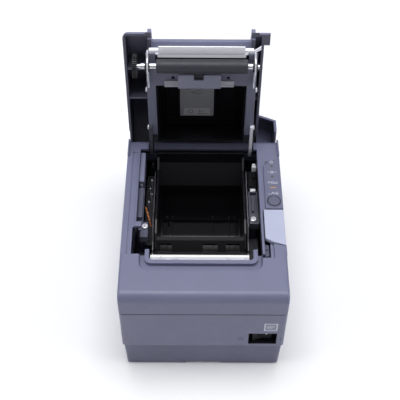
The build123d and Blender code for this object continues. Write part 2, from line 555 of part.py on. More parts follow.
with BuildPart() as interface_panel:
    blk(-57, 24, 191.2, 192.4, 38.0, 75.5)
    blk(-46.5, -5.5, 190, 196, 50.0, 60.5, mode=Mode.SUBTRACT)
    blk(2.5, 15.5, 190, 196, 48.5, 61.0, mode=Mode.SUBTRACT)
    with Locations(Location((-50.5, 192.6, 68.0), (90, 0, 0)), Location((18.5, 192.6, 68.0), (90, 0, 0))):
        Cylinder(1.7, 6, mode=Mode.SUBTRACT)
save("interface_panel", interface_panel)

with BuildPart() as socket_plate:
    blk(24.6, 57, 191.2, 192.4, 38.0, 75.5)
    blk(28.5, 41.5, 190, 196, 47.0, 60.0, mode=Mode.SUBTRACT)
    rod_y(49.0, 190, 196, 54.0, 5.6, mode=Mode.SUBTRACT)
save("socket_plate", socket_plate)

with BuildPart() as serial_socket:
    with BuildSketch(Plane.XZ.offset(-190.0)):
        with BuildLine():
            Polyline((-46.0, 60.0), (-6.0, 60.0), (-8.0, 50.6), (-44.0, 50.6), close=True)
        make_face()
        fillet(vertices(), 1.5)
    extrude(amount=-5.0)
    with BuildSketch(Plane.XZ.offset(-196.0)):
        with BuildLine():
            Polyline((-44.9, 59.2), (-7.1, 59.2), (-8.7, 51.4), (-43.3, 51.4), close=True)
        make_face()
    extrude(amount=3.0, mode=Mode.SUBTRACT)
    for i in range(13):
        rod_y(-42.2 + i * 2.7, 190.0, 194.6, 57.2, 0.6)
    for i in range(12):
        rod_y(-40.8 + i * 2.7, 190.0, 194.6, 53.6, 0.6)
save("serial_socket", serial_socket)

with BuildPart() as usb_socket:
    blk(3.0, 15.0, 184.0, 194.8, 49.0, 60.5)
    blk(4.4, 13.6, 187.0, 196.0, 50.4, 59.1, mode=Mode.SUBTRACT)
    blk(6.4, 11.6, 187.0, 193.8, 53.0, 56.4)
save("usb_socket", usb_socket)

with BuildPart() as drawer_socket:
    blk(29.0, 41.0, 182.0, 194.8, 47.5, 59.5)
    blk(30.6, 39.4, 184.0, 196.0, 49.2, 56.4, mode=Mode.SUBTRACT)
    blk(33.2, 36.8, 184.0, 196.0, 56.4, 58.4, mode=Mode.SUBTRACT)
save("drawer_socket", drawer_socket)

with BuildPart() as power_inlet:
    rod_y(49.0, 182.0, 194.8, 54.0, 5.5)
    rod_y(49.0, 185.0, 196.0, 54.0, 4.5, mode=Mode.SUBTRACT)
    for a in (90, 210, 330):
        rod_y(49.0 + 2.2 * math.cos(math.radians(a)), 184.9, 192.0, 54.0 + 2.2 * math.sin(math.radians(a)), 0.7)
save("power_inlet", power_inlet)

with BuildPart() as panel_thumb_screws:
    for x in (-50.5, 18.5):
        rod_y(x, 188.6, 192.5, 68.0, 1.5)
        rod_y(x, 192.5, 196.4, 68.0, 3.4)
        blk(x - 2.6, x + 2.6, 195.6, 198.0, 67.6, 68.4, mode=Mode.SUBTRACT)
save("panel_thumb_screws", panel_thumb_screws)

with BuildPart() as interface_board:
    blk(-55, 55, 180.4, 181.8, 40.0, 74.0)
save("interface_board", interface_board)

# ---- sensor lead: a short wire held between the left block and the side frame
with BuildPart() as sensor_lead:
    with BuildLine() as lead_path:
        FilletPolyline((-53.9, 118.0, 84.0), (-53.7, 113.5, 92.0), (-52.2, 105.5, 95.8), (-50.0, 98.0, 94.6), (-48.4, 94.0, 88.0), radius=3.4)
    with BuildSketch(Plane(origin=lead_path.line @ 0, z_dir=lead_path.line % 0)):
        Circle(0.75)
    sweep(path=lead_path.line)
save("sensor_lead", sensor_lead)

# ---- small parts in the right gap: sensor housing, its clip and spring
with BuildPart() as cover_sensor:
    blk(43.0, 50.8, 137.0, 160.0, 82.0, 91.6)
    blk(44.0, 46.6, 140.0, 157.0, 91.6, 93.2)
    blk(47.8, 50.0, 150.0, 157.0, 91.6, 94.0)
save("cover_sensor", cover_sensor)
with BuildPart() as sensor_spring:
    slab_yz([(133.0, 84.0), (133.0, 93.4), (136.4, 93.4), (136.4, 92.8), (133.6, 92.8), (133.6, 84.0)], 44.6, 49.6)
save("sensor_spring", sensor_spring)

# ================================================================= roll cover, drawn closed
def cover_profile(inset=0.0):
    """The cover's long section: low at the front, rising to the crown and rounding down at the back."""
    i = inset
    with BuildLine() as outline:
        l1 = Line((FC_Y + 0.4 + i, 90.0), (FC_Y + 0.4 + i, 113.6 - 0.6 * i))
        l2 = ThreePointArc((FC_Y + 0.4 + i, 113.6 - 0.6 * i), (96.0, 136.6 - i), (154.0, 147.8 - i))
        l3 = TangentArc(l2 @ 1, (COV_REAR - i, 128.0), tangent=l2 % 1)
        l4 = Line((COV_REAR - i, 128.0), (COV_REAR - i, 90.0))
        l5 = Line((COV_REAR - i, 90.0), (FC_Y + 0.4 + i, 90.0))
    return outline.line


with BuildPart() as cover_shell:
    with BuildSketch(Plane.YZ.offset(COV_L)):
        make_face(cover_profile())
    extrude(amount=COV_WIDE - COV_L)
    for x in (COV_L, COV_WIDE):
        fillet(cover_shell.edges().filter_by(lambda e: e.center().Z > 100 and abs(e.center().X - x) < 0.1), 5.0)
    slab_xy([(COV_R, 30), (COV_R, 152.6), (73, 161.2), (73, 30)], 80, 160, mode=Mode.SUBTRACT)
    # the wide rear part starts low behind the panel and rises to the crown
    shoulder = Face(Wire.make_polygon([(COV_R, 140, 119.8), (COV_R, 190, 152.3), (COV_R, 190, 170), (COV_R, 140, 170)]))
    extrude(shoulder, amount=24, dir=(1, 0.4, 0), mode=Mode.SUBTRACT)
    # hollow inside
    with BuildSketch(Plane.YZ.offset(COV_L + 2.4)):
        make_face(cover_profile(2.4))
    extrude(amount=COV_R - COV_L - 4.8, mode=Mode.SUBTRACT)
    with BuildSketch(Plane.YZ.offset(COV_R - 4)):
        make_face(cover_profile(2.4))
        with Locations((100.0, 120.0)):
            Rectangle(128.6, 100.0, mode=Mode.SUBTRACT)
    extrude(amount=4.1, mode=Mode.SUBTRACT)
    # the wide part is open towards the panel
    bay = Face(Wire.make_polygon([(COV_R, 148, 100), (COV_R, 148, 122.1), (COV_R, 166, 133.8), (COV_R, 176, 134.5), (COV_R, 181, 128), (COV_R, 181, 100)]))
    extrude(bay, amount=17.4, dir=(1, 0.4, 0), mode=Mode.SUBTRACT)
    # walls of the paper exit notch
    slab_yz([(FC_Y + 0.4, 110), (FC_Y + 0.4, 118.6), (64, 127.4), (66.5, 125.0), (66.5, 110)], -50.0, -46.6)
    slab_yz([(FC_Y + 0.4, 110), (FC_Y + 0.4, 118.6), (64, 127.4), (66.5, 125.0), (66.5, 110)], 41.2, 44.6)
    blk(-46.6, 41.2, 40, 57.8, 80, 160, mode=Mode.SUBTRACT)
    slab_yz([(57.8, 116.8), (57.8, 119.4), (61.0, 120.6), (67.8, 113.6), (67.8, 111.0), (64.6, 111.0)], -46.6, 41.2)
    # finger grip at the right front corner
    slab_yz([(FC_Y + 0.4, 110), (FC_Y + 0.4, 113.6), (57.0, 119.0), (57.0, 110)], COV_R - 0.1, 57.6)
    # flat rim
    blk(-90, 90, 30, 210, 80, RIM_Z, mode=Mode.SUBTRACT)
    # clearance beside the raised lips of the case
    blk(-90, -70.7, 159.0, 190.0, 100, 114.8, mode=Mode.SUBTRACT)
    blk(70.7, 90, 158.0, 190.0, 100, 114.8, mode=Mode.SUBTRACT)
    # clearance over the front cover's lip
    blk(-52.0, 48.0, 40, 51.2, 100, 113.2, mode=Mode.SUBTRACT)
    # stiffening ribs in the two side bays
    for x0, x1 in ((COV_L + 2.4, -51.4), (46.6, COV_R - 2.4)):
        for y in (84.0, 118.0):
            blk(x0, x1, y, y + 1.4, 111.6, 131.0 if y < 100 else 140.0)
save("cover_shell", cover_shell, on_cover=True)

# ---- black liner over the roll, with shallow ribs
with BuildPart() as cover_liner:
    blk(-43.6, 38.6, 92.6, 166.0, 104.0, 130.4)
    blk(-42.0, 37.0, 94.2, 164.4, 90.0, 128.8, mode=Mode.SUBTRACT)
    for x in (-35.5, -24.2, 11.2, 29.5):
        blk(x, x + 1.0, 94.2, 164.4, 126.4, 128.8)
    for y in (104.0, 158.0):
        blk(-42.0, 37.0, y, y + 1.0, 127.2, 128.8)
    # trim the front corner that would meet the shell
    slab_yz([(90.0, 127.4), (96.5, 131.0), (90.0, 131.0)], -50, 50, mode=Mode.SUBTRACT)
save("cover_liner", cover_liner, on_cover=True)

# ---- grey carrier frame of the platen unit, with its two hinge arms
with BuildPart() as cover_frame:
    blk(-51.4, 46.6, 57.0, 152.0, 98.0, 99.6)
    blk(-43.8, 38.8, 92.4, 170.0, 90.0, 110.0, mode=Mode.SUBTRACT)
    blk(-43.0, 39.0, 50.0, 73.4, 90.0, 110.0, mode=Mode.SUBTRACT)
    for x in (-27.8, 21.6):
        rod_z(x, 83.4, 90, 110, 1.6, mode=Mode.SUBTRACT)
    # upstands beside the liner
    blk(-45.2, -43.6, 92.4, 152.0, 98.0, 112.0)
    blk(38.6, 40.2, 92.4, 152.0, 98.0, 112.0)
    # ends that run up to the shell
    blk(-51.4, -50.2, 75.0, 152.0, 98.0, 116.0)
    blk(45.4, 46.6, 75.0, 152.0, 98.0, 116.0)
    blk(-43.8, 38.8, 75.4, 77.0, 99.6, 106.0)
save("cover_frame", cover_frame, on_cover=True)

with BuildPart() as hinge_arms:
    for x0 in (-51.4, 43.8):
        slab_yz([(140.0, 94.6), (140.0, 98.0), (151.0, 98.0), (152.6, 97.6), (170.0, 99.0), (173.5, 104.2), (HINGE_Y, 105.4), (181.3, 104.2), (181.3, 99.0), (HINGE_Y, 97.4), (168.0, 94.6)], x0, x0 + 2.8)
    rod_x(-52.4, 47.6, HINGE_Y, HINGE_Z, 2.06, mode=Mode.SUBTRACT)
save("hinge_arms", hinge_arms, on_cover=True)

# ---- bright steel side plates that hold the platen bearings
with BuildPart() as platen_plates:
    for x0 in (-50.0, 43.6):
        slab_yz([(52.5, 98.0), (51.6, 94.0), (56.0, 90.5), (57.5, 86.0), (62.0, 84.6), (69.0, 84.8), (73.0, 88.0), (80.0, 89.0), (84.0, 92.6), (90.5, 92.4), (90.5, 98.0)], x0, x0 + 1.2)
    rod_x(-51, 46, PLATEN_Y, PLATEN_Z, 4.33, mode=Mode.SUBTRACT)
save("platen_plates", platen_plates, on_cover=True)

# ---- platen: shaft, rubber roller, gear, and the two bushes
with BuildPart() as platen_shaft:
    rod_x(-62.6, 48.0, PLATEN_Y, PLATEN_Z, 2.0)
    rod_x(-55.6, 46.4, PLATEN_Y, PLATEN_Z, 3.0)
save("platen_shaft", platen_shaft, on_cover=True)

with BuildPart() as platen_roller:
    rod_x(-42.0, 38.0, PLATEN_Y, PLATEN_Z, PLATEN_R)
    fillet(platen_roller.edges().filter_by(GeomType.CIRCLE), 0.8)
    rod_x(-60.0, 60.0, PLATEN_Y, PLATEN_Z, 3.0, mode=Mode.SUBTRACT)
save("platen_roller", platen_roller, on_cover=True)

with BuildPart() as platen_gear:
    gear_x(N_PLATEN, MODULE, GEAR_X0, GEAR_X1, PLATEN_Y, PLATEN_Z, platen_phase, 0.40)
    rod_x(GEAR_X0 - 1, GEAR_X1 + 1, PLATEN_Y, PLATEN_Z, 2.0, mode=Mode.SUBTRACT)
save("platen_gear", platen_gear, on_cover=True)

with BuildPart() as platen_bushes:
    for a, b, c, d in ((-52.0, -47.6, -48.8, -47.6), (43.2, 46.3, 43.2, 43.6)):
        rod_x(a, b, PLATEN_Y, PLATEN_Z, 4.3)
    rod_x(-48.8, -47.6, PLATEN_Y, PLATEN_Z, 5.0)
    rod_x(42.2, 43.6, PLATEN_Y, PLATEN_Z, 5.0)
    rod_x(-60, 60, PLATEN_Y, PLATEN_Z, 3.05, mode=Mode.SUBTRACT)
save("platen_bushes", platen_bushes, on_cover=True)

# ---- fixed blade and its folded holder
with BuildPart() as fixed_blade:
    slab_yz([(49.6, 99.4), (49.9, 98.6), (57.6, 98.6), (57.6, 99.8), (50.4, 99.8)], -40.0, 35.4)
save("fixed_blade", fixed_blade, on_cover=True)

with BuildPart() as blade_holder:
    blk(-48.6, 43.4, 54.6, 57.6, 99.8, 101.0)
    blk(-48.6, 43.4, 56.4, 57.6, 101.0, 106.0)
    blk(-42.8, 38.2, 57.6, 58.6, 98.8, 106.0)
    slab_xy([(43.4, 54.6), (49.2, 50.2), (49.2, 53.6), (43.4, 57.6)], 99.8, 101.0)
save("blade_holder", blade_holder, on_cover=True)

# ---- grey guide flap with a centre notch, and the bright strip behind it
with BuildPart() as guide_flap:
    with BuildSketch(Plane.XY.offset(92.0)):
        with Locations((-4.2, 83.4)):
            Rectangle(38.0, 14.6)
        with Locations((-4.8, 78.4)):
            Rectangle(8.6, 6.0, mode=Mode.SUBTRACT)
    extrude(amount=1.6)
    blk(-20.0, -14.0, 80.6, 85.6, 93.6, 98.0)
    blk(6.0, 12.0, 80.6, 85.6, 93.6, 98.0)
save("guide_flap", guide_flap, on_cover=True)

with BuildPart() as guide_strip:
    blk(-35.4, 26.6, 86.0, 92.2, 96.6, 98.0)
    rod_x(-35.4, 26.6, 91.4, 96.8, 1.2)
save("guide_strip", guide_strip, on_cover=True)

with BuildPart() as paper_sensor:
    blk(-8.6, -1.0, 75.6, 80.6, 93.8, 98.0)
save("paper_sensor", paper_sensor, on_cover=True)

# ---- rivets that hold the arms and plates to the carrier
with BuildPart() as cover_rivets:
    for x, s in ((-51.4, -1), (46.6, 1)):
        for y in (100.0, 146.0):
            a, b = (x - 1.6, x) if s < 0 else (x, x + 1.6)
            rod_x(a, b, y, 102.0, 2.4)
    fillet(cover_rivets.faces().filter_by(GeomType.PLANE).edges(), 0.5)
save("cover_rivets", cover_rivets, on_cover=True)
print("platen phase", platen_phase, "ratio", -N_IDLER / N_PINION)
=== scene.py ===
import math
import bpy
import bmesh
from mathutils import Matrix, Vector


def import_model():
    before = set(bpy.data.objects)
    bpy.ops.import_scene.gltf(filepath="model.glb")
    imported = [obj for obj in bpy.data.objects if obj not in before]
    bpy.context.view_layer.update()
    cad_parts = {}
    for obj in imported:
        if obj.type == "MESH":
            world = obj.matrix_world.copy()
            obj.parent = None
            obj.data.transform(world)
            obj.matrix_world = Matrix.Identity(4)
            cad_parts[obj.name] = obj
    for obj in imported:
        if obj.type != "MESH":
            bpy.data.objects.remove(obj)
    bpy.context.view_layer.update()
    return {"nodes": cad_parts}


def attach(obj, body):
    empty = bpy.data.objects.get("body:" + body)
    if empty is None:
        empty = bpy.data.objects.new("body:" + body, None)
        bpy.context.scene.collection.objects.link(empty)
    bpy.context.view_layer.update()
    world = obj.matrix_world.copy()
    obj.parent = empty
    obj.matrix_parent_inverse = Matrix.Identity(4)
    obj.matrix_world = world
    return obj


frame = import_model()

N = frame["nodes"]
YC = 112.3
HY, HZ, OPEN = 177.5, 101.6, math.radians(92.3)


def P(x, y, z):
    """Case millimetres to the row frame in metres."""
    return Vector((x / 1000, (y - YC) / 1000, z / 1000))


def O(x, y, z):
    """Millimetres on the closed roll cover to the row frame with the cover open."""
    a, b = y - HY, z - HZ
    return P(x, HY + a * math.cos(OPEN) + b * math.sin(OPEN), HZ - a * math.sin(OPEN) + b * math.cos(OPEN))


# ------------------------------------------------------------------ materials
def lin(c):
    return tuple((v / 12.92 if v <= 0.04045 else ((v + 0.055) / 1.055) ** 2.4) for v in [k / 255 for k in c])


class Mat:
    """A small builder for one node material."""

    def __init__(self, name):
        self.m = bpy.data.materials.new(name)
        self.m.use_nodes = True
        self.t = self.m.node_tree
        self.t.nodes.clear()
        self.out = self.add("ShaderNodeOutputMaterial")
        self.b = self.add("ShaderNodeBsdfPrincipled")
        self.link(self.b.outputs[0], self.out.inputs[0])
        self.co = self.add("ShaderNodeTexCoord").outputs["Object"]

    def add(self, kind, **kw):
        n = self.t.nodes.new(kind)
        for k, v in kw.items():
            setattr(n, k, v)
        return n

    def link(self, a, b):
        self.t.links.new(a, b)

    def stretch(self, scale):
        n = self.add("ShaderNodeMapping")
        n.inputs["Scale"].default_value = scale
        self.link(self.co, n.inputs["Vector"])
        return n.outputs[0]

    def noise(self, scale, detail=4.0, rough=0.55, vec=None):
        n = self.add("ShaderNodeTexNoise")
        n.inputs["Scale"].default_value = scale
        n.inputs["Detail"].default_value = detail
        n.inputs["Roughness"].default_value = rough
        self.link(vec if vec is not None else self.co, n.inputs["Vector"])
        return n.outputs["Fac"]

    def voronoi(self, scale, vec=None):
        n = self.add("ShaderNodeTexVoronoi")
        n.inputs["Scale"].default_value = scale
        self.link(vec if vec is not None else self.co, n.inputs["Vector"])
        return n.outputs["Distance"]

    def ramp(self, fac, lo, hi, a=0.0, b=1.0):
        n = self.add("ShaderNodeMapRange")
        n.inputs["From Min"].default_value = lo
        n.inputs["From Max"].default_value = hi
        n.inputs["To Min"].default_value = a
        n.inputs["To Max"].default_value = b
        self.link(fac, n.inputs["Value"])
        return n.outputs[0]

    def mix(self, fac, a, b):
        n = self.add("ShaderNodeMix", data_type="RGBA")
        for sock, v in ((n.inputs[0], fac), (n.inputs[6], a), (n.inputs[7], b)):
            if hasattr(v, "is_linked") or hasattr(v, "links"):
                self.link(v, sock)
            elif isinstance(v, (int, float)):
                sock.default_value = v
            else:
                sock.default_value = (*v, 1.0)
        return n.outputs[2]

    def math(self, op, a, b=None):
        n = self.add("ShaderNodeMath", operation=op)
        for sock, v in ((n.inputs[0], a), (n.inputs[1], b)):
            if v is None:
                continue
            if hasattr(v, "links"):
                self.link(v, sock)
            else:
                sock.default_value = v
        return n.outputs[0]

    def edge(self, radius):
        """1 along sharp edges, 0 on flats, and the softened normal."""
        bev = self.add("ShaderNodeBevel", samples=6)
        bev.inputs["Radius"].default_value = radius
        geo = self.add("ShaderNodeNewGeometry")
        dot = self.add("ShaderNodeVectorMath", operation="DOT_PRODUCT")
        self.link(bev.outputs[0], dot.inputs[0])
        self.link(geo.outputs["Normal"], dot.inputs[1])
        return self.ramp(dot.outputs["Value"], 0.995, 0.8, 0.0, 1.0), bev.outputs[0]

    def bump(self, height, strength, distance, normal=None):
        n = self.add("ShaderNodeBump")
        n.inputs["Strength"].default_value = strength
        n.inputs["Distance"].default_value = distance
        self.link(height, n.inputs["Height"])
        if normal is not None:
            self.link(normal, n.inputs["Normal"])
        self.link(n.outputs[0], self.b.inputs["Normal"])
        return n.outputs[0]

    def set(self, **kw):
        for k, v in kw.items():
            self.b.inputs[k.replace("_", " ")].default_value = v


def plastic(name, colour, rough=0.5, grain=2600, depth=0.00003, strength=0.35, wear=0.25, spec=0.5, var=0.10, soft=0.0005):
    """Moulded plastic: sparked texture, faint cloudiness, handled edges and a little dust."""
    m = Mat(name)
    edge, soft_n = m.edge(soft)
    cloud = m.noise(34, 5, 0.6)
    speck = m.noise(grain * 0.55, 2, 0.5)
    dark = tuple(v * (1 - var) for v in colour)
    light = tuple(min(1, v * (1 + var)) for v in colour)
    c = m.mix(m.ramp(cloud, 0.3, 0.7), dark, light)
    c = m.mix(m.math("MULTIPLY", m.ramp(speck, 0.35, 0.75), 0.16), c, tuple(min(1, v * 1.35 + 0.01) for v in colour))
    worn = m.math("MULTIPLY", edge, m.ramp(m.noise(210, 4), 0.35, 0.7, 0.2, wear * 1.6))
    c = m.mix(worn, c, tuple(min(1, v * 1.7 + 0.03) for v in colour))
    m.link(c, m.b.inputs["Base Color"])
    r = m.ramp(m.noise(90, 5, 0.65), 0.25, 0.75, rough - 0.07, rough + 0.08)
    m.link(r, m.b.inputs["Roughness"])
    grainy = m.math("ADD", m.noise(grain, 3, 0.6), m.math("MULTIPLY", m.voronoi(grain * 0.8), 0.6))
    m.bump(grainy, strength, depth, soft_n)
    m.b.inputs["Specular IOR Level"].default_value = spec
    return m


def metal(name, colour, rough=0.25, brush=(30, 1400, 1400), depth=0.000012, var=0.08, soft=0.0003, stains=0.28):
    """Rolled or brushed metal with streaks, faint stains and bright edges."""
    m = Mat(name)
    edge, soft_n = m.edge(soft)
    streak = m.noise(1.0, 5, 0.6, m.stretch(brush))
    stain = m.noise(120, 5, 0.6)
    c = m.mix(m.ramp(streak, 0.3, 0.7), tuple(v * (1 - var) for v in colour), tuple(min(1, v * (1 + var)) for v in colour))
    c = m.mix(m.ramp(stain, 0.55, 0.8, 0.0, stains), c, tuple(v * 0.72 for v in colour))
    c = m.mix(m.math("MULTIPLY", edge, 0.5), c, tuple(min(1, v * 1.25) for v in colour))
    m.link(c, m.b.inputs["Base Color"])
    m.link(m.ramp(m.math("ADD", streak, stain), 0.7, 1.3, rough - 0.07, rough + 0.12), m.b.inputs["Roughness"])
    m.bump(streak, 0.3, depth, soft_n)
    m.b.inputs["Metallic"].default_value = 1.0
    return m


def zone(m, x0, x1, y0, y1, z0, z1, soft=0.0003):
    """A soft-edged box mask in case millimetres."""
    p = m.add("ShaderNodeSeparateXYZ")
    m.link(m.co, p.inputs[0])
    s = None
    for out, lo, hi in ((p.outputs[0], x0 / 1000, x1 / 1000), (p.outputs[1], (y0 - YC) / 1000, (y1 - YC) / 1000), (p.outputs[2], z0 / 1000, z1 / 1000)):
        k = m.math("MULTIPLY", m.ramp(out, lo - soft, lo + soft), m.ramp(out, hi - soft, hi + soft, 1.0, 0.0))
        s = k if s is None else m.math("MULTIPLY", s, k)
    return s


def tint(m, zones):
    """Lays darker or lighter colours over box-shaped parts of a material: painted shade in recesses, wells and on the
    crossbar, plus plain darker lines and bands.
    """
    c = m.b.inputs["Base Color"].links[0].from_socket
    for box, colour, amount, soft in zones:
        c = m.mix(m.math("MULTIPLY", zone(m, *box, soft), amount), c, colour)
    m.link(c, m.b.inputs["Base Color"])
    return m


CASE = (0.135, 0.140, 0.225)
case = plastic("case_plastic", CASE, 0.42, 2400, 0.00004, 0.42, 0.22, 0.55, 0.05, 0.0006)
tint(case, [
    ((-80, 80, -5, 200, 84.95, 86.15), (0.008, 0.008, 0.016), 0.9, 0.00025),
    # near-black around the power switch recess: painted shade
    ((40.0, 65.8, 0.5, 12, 37.4, 55.8), (0.004, 0.004, 0.006), 0.97, 0.0002),
    # crossbar behind the well darkened: painted shade
    ((-47, 43, 170, 188, 97, 112), (0.030, 0.031, 0.050), 0.85, 0.0008),
    # case faces inside the well made near-black: painted shade
    ((-60.6, 53.5, 42, 175, 30, 106.6), (0.008, 0.008, 0.013), 0.95, 0.0008),
    ((-80, 80, 187, 196, 37, 76), (0.02, 0.02, 0.03), 0.2, 0.0008),
])
base = plastic("base_plastic", tuple(v * 0.78 for v in CASE), 0.5, 2400, 0.00004, 0.42, 0.2, 0.5, 0.06, 0.0006)
panel = plastic("panel_plastic", tuple(v * 0.82 for v in CASE), 0.45, 2600, 0.00003, 0.35, 0.25, 0.5, 0.05, 0.0004)
pad = plastic("paddle_plastic", (0.40, 0.42, 0.55), 0.5, 2600, 0.00003, 0.35, 0.12, 0.45, 0.03, 0.0005)
button = plastic("button_plastic", tuple(v * 0.66 for v in CASE), 0.48, 2600, 0.00003, 0.35, 0.4, 0.5, 0.05, 0.0005)
dark = plastic("dark_plastic", (0.016, 0.016, 0.022), 0.42, 2200, 0.00003, 0.4, 0.5, 0.5, 0.15, 0.0004)
frame_grey = plastic("frame_plastic", (0.145, 0.150, 0.205), 0.38, 1800, 0.00002, 0.3, 0.4, 0.5, 0.08, 0.0004)
flap_grey = plastic("flap_plastic", (0.225, 0.23, 0.30), 0.42, 2000, 0.00002, 0.3, 0.25, 0.5, 0.05, 0.0004)
block_grey = plastic("block_plastic", (0.075, 0.077, 0.105), 0.5, 2200, 0.00003, 0.35, 0.3, 0.5, 0.08, 0.0005)
rocker_black = plastic("rocker_plastic", (0.006, 0.006, 0.008), 0.5, 2200, 0.00003, 0.3, 0.3, 0.15, 0.1, 0.0004)
left_block = plastic("left_block_plastic", (0.085, 0.088, 0.135), 0.45, 2200, 0.00003, 0.35, 0.4, 0.5, 0.06, 0.0005)
white_gear = plastic("gear_plastic", (0.62, 0.6, 0.54), 0.4, 1500, 0.00002, 0.2, 0.1, 0.5, 0.04, 0.0002)
black_gear = plastic("black_gear_plastic", (0.012, 0.012, 0.015), 0.38, 1500, 0.00002, 0.2, 0.5, 0.5, 0.1, 0.0002)


def shell_material():
    """The roll cover: case grey outside; inside, a dark colour painted in as the shade of the hollow, with painted
    highlights along its edges.
    """
    m = plastic("cover_plastic", CASE, 0.44, 2400, 0.00004, 0.42, 0.22, 0.55, 0.05, 0.0006)
    old = m.b.inputs["Base Color"].links[0].from_socket
    geo = m.add("ShaderNodeNewGeometry")
    n = m.add("ShaderNodeSeparateXYZ")
    m.link(geo.outputs["True Normal"], n.inputs[0])
    tr = m.add("ShaderNodeVectorTransform", vector_type="NORMAL", convert_from="WORLD", convert_to="OBJECT")
    m.link(geo.outputs["True Normal"], tr.inputs[0])
    m.link(tr.outputs[0], n.inputs[0])
    p = m.add("ShaderNodeSeparateXYZ")
    m.link(m.co, p.inputs[0])
    back = m.math("GREATER_THAN", n.outputs[1], 0.06)
    left = m.math("MULTIPLY", m.math("LESS_THAN", p.outputs[0], -0.0710), m.math("LESS_THAN", n.outputs[0], -0.2))
    right = m.math("MULTIPLY", m.math("GREATER_THAN", p.outputs[0], 0.0704), m.math("GREATER_THAN", n.outputs[0], 0.2))
    right2 = m.math("MULTIPLY", m.math("GREATER_THAN", p.outputs[0], 0.0518), m.math("GREATER_THAN", n.outputs[0], 0.3))
    top = m.math("MULTIPLY", m.math("GREATER_THAN", n.outputs[2], 0.3), m.math("GREATER_THAN", p.outputs[2], 0.2215))
    bridge = m.math("MULTIPLY", m.math("GREATER_THAN", p.outputs[2], 0.2095), m.math("LESS_THAN", m.math("ABSOLUTE", m.math("ADD", p.outputs[0], 0.0027)), 0.0441))
    s = back
    for k in (left, right, right2, top, bridge):
        s = m.math("MAXIMUM", s, k)
    # inside faces: a darker colour standing for the shade in the hollow (painted shade)
    inner_shade = m.mix(m.ramp(m.noise(60, 4), 0.3, 0.7), (0.072, 0.073, 0.105), (0.088, 0.090, 0.125))
    # lighter along the inside edges: painted edge highlights
    edge, _ = m.edge(0.0006)
    inner_shade = m.mix(m.math("MULTIPLY", edge, 0.8), inner_shade, (0.15, 0.155, 0.23))
    m.link(m.mix(s, inner_shade, old), m.b.inputs["Base Color"])
    return m


def gloss(name, colour, rough=0.06, wave=0.00006):
    """Polished black plastic: hairline scratches, paper dust and a slight ripple."""
    m = Mat(name)
    edge, soft_n = m.edge(0.0004)
    dust = m.ramp(m.noise(700, 6, 0.7), 0.62, 0.78, 0.0, 0.16)
    scratch = m.noise(1.0, 3, 0.6, m.stretch((40, 2600, 2600)))
    c = m.mix(dust, colour, (0.12, 0.12, 0.13))
    c = m.mix(m.math("MULTIPLY", edge, 0.35), c, (0.06, 0.06, 0.08))
    m.link(c, m.b.inputs["Base Color"])
    m.link(m.ramp(m.math("ADD", scratch, m.noise(55, 4)), 0.7, 1.4, rough, rough + 0.1), m.b.inputs["Roughness"])
    m.bump(m.math("ADD", m.noise(38, 2), m.math("MULTIPLY", scratch, 0.05)), 0.25, wave, soft_n)
    m.set(Coat_Weight=0.5, Coat_Roughness=0.03)
    return m


def well_material():
    """Black moulded well: satin above, polished low on the rear of the bowl where rolls turn."""
    m = gloss("well_gloss", (0.0035, 0.0035, 0.0048), 0.3)
    m.set(Coat_Weight=0.0)
    m.b.inputs["Specular IOR Level"].default_value = 0.3
    low = zone(m, -40.6, 36.2, 130.8, 144.6, 22, 36, 0.0004)
    m.link(m.ramp(low, 0.0, 1.0, 0.34, 0.10), m.b.inputs["Roughness"])
    return m


well = well_material()
liner = gloss("liner_gloss", (0.004, 0.004, 0.0055), 0.34, 0.00003)
liner.set(Coat_Weight=0.1)
liner.b.inputs["Specular IOR Level"].default_value = 0.25
guide = gloss("guide_gloss", (0.004, 0.004, 0.0055), 0.5, 0.00002)
guide.set(Coat_Weight=0.0)
guide.b.inputs["Specular IOR Level"].default_value = 0.2

steel = metal("bright_steel", (0.84, 0.84, 0.87), 0.16, (18, 1500, 1500))
plate = metal("plated_steel", (0.80, 0.81, 0.86), 0.34, (160, 40, 160), 0.000006)
plate.set(Metallic=0.45)
# Near-white, non-metallic plate: a light plate tone with the bright reflection of the plating painted into the colour
# (painted reflection).
bright = metal("bright_plate", (0.95, 0.95, 1.0), 0.36, (14, 160, 160), 0.000002, 0.02, 0.0003, 0.04)
bright.set(Metallic=0.0)
strip_metal = metal("strip_plate", (0.50, 0.50, 0.54), 0.32, (14, 120, 120), 0.000002, 0.04, 0.0003, 0.06)
strip_metal.set(Metallic=0.6)
dark_steel = metal("blackened_steel", (0.03, 0.03, 0.04), 0.35, (60, 400, 400))


def arm_material():
    """Plated hinge arms: the right one bright, a near-white colour with the reflection of the plating painted in
    (painted reflection) over a light plate tone; the left one blackened.
    """
    m = metal("hinge_arm_plate", (0.9, 0.9, 0.96), 0.3, (200, 30, 30), 0.000004, 0.04)
    m.set(Metallic=0.25)
    return tint(m, [((-60, -30, 0, 260, 0, 300), (0.035, 0.036, 0.05), 0.94, 0.0003)])


arms = arm_material()
frame_steel = metal("frame_steel", (0.20, 0.20, 0.215), 0.32, (900, 40, 900))
screw = metal("screw_steel", (0.86, 0.86, 0.9), 0.3, (200, 200, 200), 0.000006)
screw.set(Metallic=0.6)
alu = metal("cast_aluminium", (0.022, 0.022, 0.026), 0.55, (200, 200, 200), 0.00004)
brass = metal("brass_metal", (0.72, 0.52, 0.24), 0.25, (60, 1500, 1500))
motor = metal("motor_steel", (0.5, 0.5, 0.52), 0.3, (60, 1400, 1400))


def bar_material():
    """The bright bar at the paper exit: grey metal in front, a cream-white land behind."""
    m = metal("exit_bar_steel", (0.60, 0.60, 0.64), 0.3, (14, 160, 160), 0.000002, 0.03, 0.0003, 0.03)
    m.set(Metallic=0.5)
    old = m.b.inputs["Base Color"].links[0].from_socket
    p = m.add("ShaderNodeSeparateXYZ")
    m.link(m.co, p.inputs[0])
    step = m.math("GREATER_THAN", p.outputs[1], P(0, 44.6, 0).y)
    m.link(m.mix(step, old, (0.93, 0.92, 0.88)), m.b.inputs["Base Color"])
    return m


